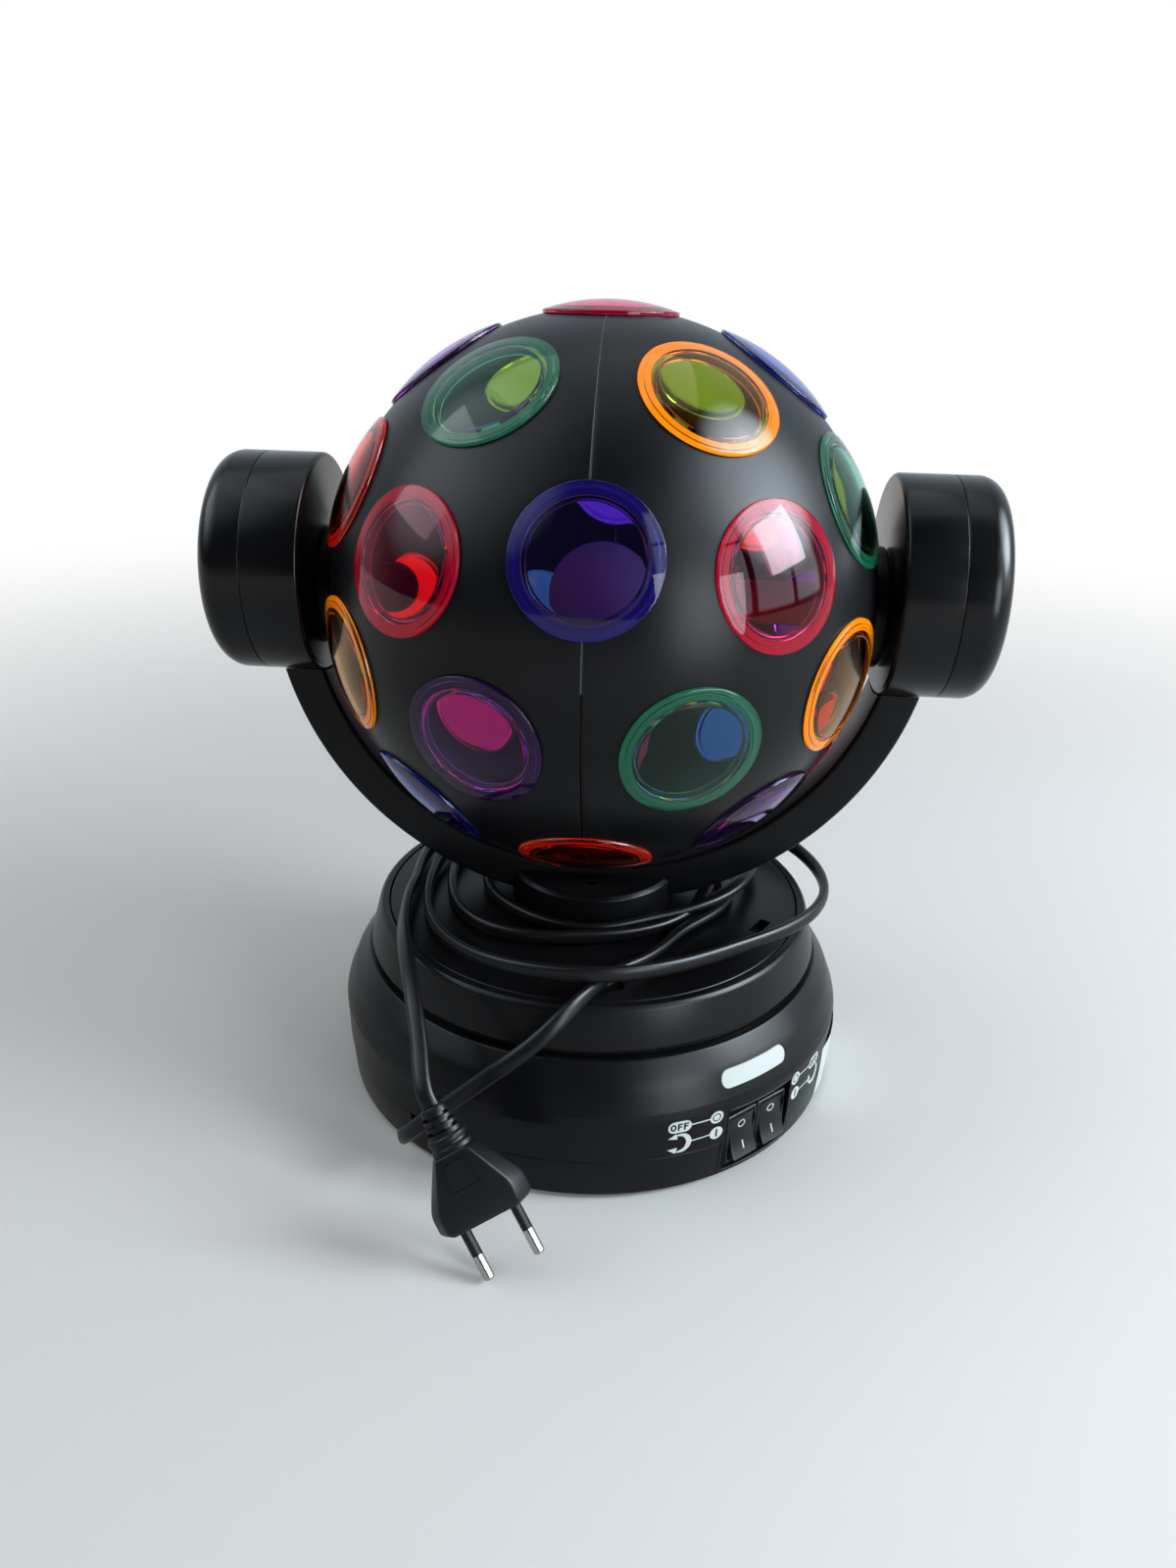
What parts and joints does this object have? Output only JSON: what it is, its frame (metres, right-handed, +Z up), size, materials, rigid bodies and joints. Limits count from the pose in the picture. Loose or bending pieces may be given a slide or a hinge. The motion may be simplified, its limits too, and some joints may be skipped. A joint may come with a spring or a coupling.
{
  "type": "disco ball light",
  "caption": "Party light: a black ball of coloured lenses spins between two drums on a swivelling yoke and round base, its mains cord wound round the foot",
  "frame": {"origin": "on the floor under the middle of the base, on the swivel axis", "axes": "+Z up along the swivel axis, X along the ball axis to the right of someone facing the front, front towards -Y"},
  "size_m": [0.28, 0.2448, 0.2986],
  "materials": {
    "black_plastic": "black moulded plastic with a fine satin skin",
    "ball_plastic": "black moulded plastic, satin",
    "switch_plastic": "black, slightly glossy",
    "plug_plastic": "black soft moulded plastic",
    "cord_rubber": "black flexible cord sheath, satin",
    "motor_steel": "plated steel can",
    "pin_metal": "bright nickel plate",
    "axle_plastic": "grey heat-proof plastic",
    "bulb_glass": "clear to pearl glass",
    "lens_indigo": "transparent coloured plastic, polished",
    "lens_crimson": "transparent coloured plastic, polished",
    "lens_violet": "transparent coloured plastic, polished",
    "lens_red": "transparent coloured plastic, polished",
    "lens_green": "transparent coloured plastic, polished",
    "lens_amber": "transparent coloured plastic, polished",
    "lens_blue": "transparent coloured plastic, polished"
  },
  "bodies": {
    "base": {"base_cover": "black_plastic", "base_housing": "black_plastic", "switch_case_1": "switch_plastic", "switch_case_2": "switch_plastic", "swivel_motor": "motor_steel", "cord_base_end": "cord_rubber", "cord_winding": "cord_rubber", "cord_plug_end": "cord_rubber", "plug_body": "plug_plastic", "plug_pin_1": "pin_metal", "plug_pin_2": "pin_metal"},
    "turntable": {"turntable_shell": "black_plastic", "turntable_disc": "black_plastic", "yoke": "black_plastic", "drum_cup_left": "black_plastic", "drum_cup_right": "black_plastic", "drum_cap_left": "black_plastic", "drum_cap_right": "black_plastic", "ball_motor": "motor_steel", "lamp_axle": "axle_plastic", "lamp_bulb": "bulb_glass"},
    "ball": {"shell_left": "ball_plastic", "shell_right": "ball_plastic", "lens_middle_1": "lens_indigo", "lens_middle_2": "lens_crimson", "lens_middle_3": "lens_violet", "lens_middle_4": "lens_crimson", "lens_middle_5": "lens_red", "lens_left_inner_1": "lens_green", "lens_left_inner_2": "lens_amber", "lens_left_inner_3": "lens_green", "lens_left_inner_4": "lens_blue", "lens_left_inner_5": "lens_violet", "lens_right_inner_1": "lens_amber", "lens_right_inner_2": "lens_green", "lens_right_inner_3": "lens_red", "lens_right_inner_4": "lens_violet", "lens_right_inner_5": "lens_green", "lens_left_second_1": "lens_crimson", "lens_left_second_2": "lens_violet", "lens_left_second_3": "lens_blue", "lens_left_second_4": "lens_crimson", "lens_left_second_5": "lens_blue", "lens_right_second_1": "lens_crimson", "lens_right_second_2": "lens_blue", "lens_right_second_3": "lens_amber", "lens_right_second_4": "lens_blue", "lens_right_second_5": "lens_violet", "lens_left_outer_1": "lens_red", "lens_left_outer_2": "lens_green", "lens_left_outer_3": "lens_red", "lens_left_outer_4": "lens_violet", "lens_left_outer_5": "lens_amber", "lens_right_outer_1": "lens_green", "lens_right_outer_2": "lens_amber", "lens_right_outer_3": "lens_blue", "lens_right_outer_4": "lens_crimson", "lens_right_outer_5": "lens_amber"},
    "switch_rocker_1": {"rocker_1": "switch_plastic"},
    "switch_rocker_2": {"rocker_2": "switch_plastic"}
  },
  "joints": [
    {"name": "turntable_swivel", "type": "hinge", "parent": "base", "child": "turntable", "pos_m": [0, 0, 0.055], "axis": [0, 0, 1], "range_deg": [-170, 170]},
    {"name": "ball_spin", "type": "hinge", "parent": "turntable", "child": "ball", "pos_m": [0, 0, 0.1962], "axis": [1, 0, 0], "continuous": true},
    {"name": "rocker_1_press", "type": "hinge", "parent": "base", "child": "switch_rocker_1", "pos_m": [0.05993, -0.0769, 0.016], "axis": [0.7385, 0.6743, 0], "range_deg": [0, 22]},
    {"name": "rocker_2_press", "type": "hinge", "parent": "base", "child": "switch_rocker_2", "pos_m": [0.07115, -0.06665, 0.016], "axis": [0.7385, 0.6743, 0], "range_deg": [0, 22]}
  ]
}
